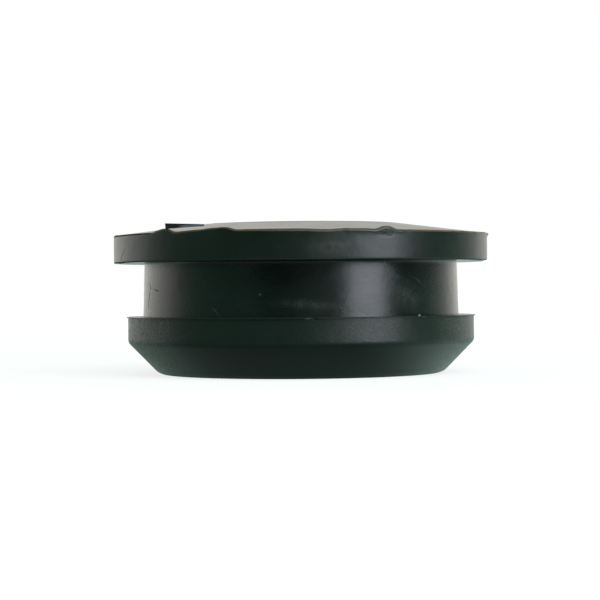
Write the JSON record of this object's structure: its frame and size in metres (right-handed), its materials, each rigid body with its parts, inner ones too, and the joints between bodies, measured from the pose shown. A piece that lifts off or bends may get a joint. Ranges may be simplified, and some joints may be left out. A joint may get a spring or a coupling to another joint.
{
  "type": "rubber grommet",
  "caption": "Black rubber panel grommet with a wide top flange, a grooved neck and a chamfered lower flange.",
  "frame": {"origin": "on the bore's axis, in the plane of the lower face", "axes": "+Z along the bore, from the lower flange to the domed top; the picture's front is -Y and +X is to its right"},
  "size_m": [0.0374, 0.0372, 0.0148],
  "materials": {
    "black_rubber": "satin moulded rubber, dusty at the edges"
  },
  "bodies": {
    "root": {"grommet": "black_rubber"}
  },
  "joints": []
}
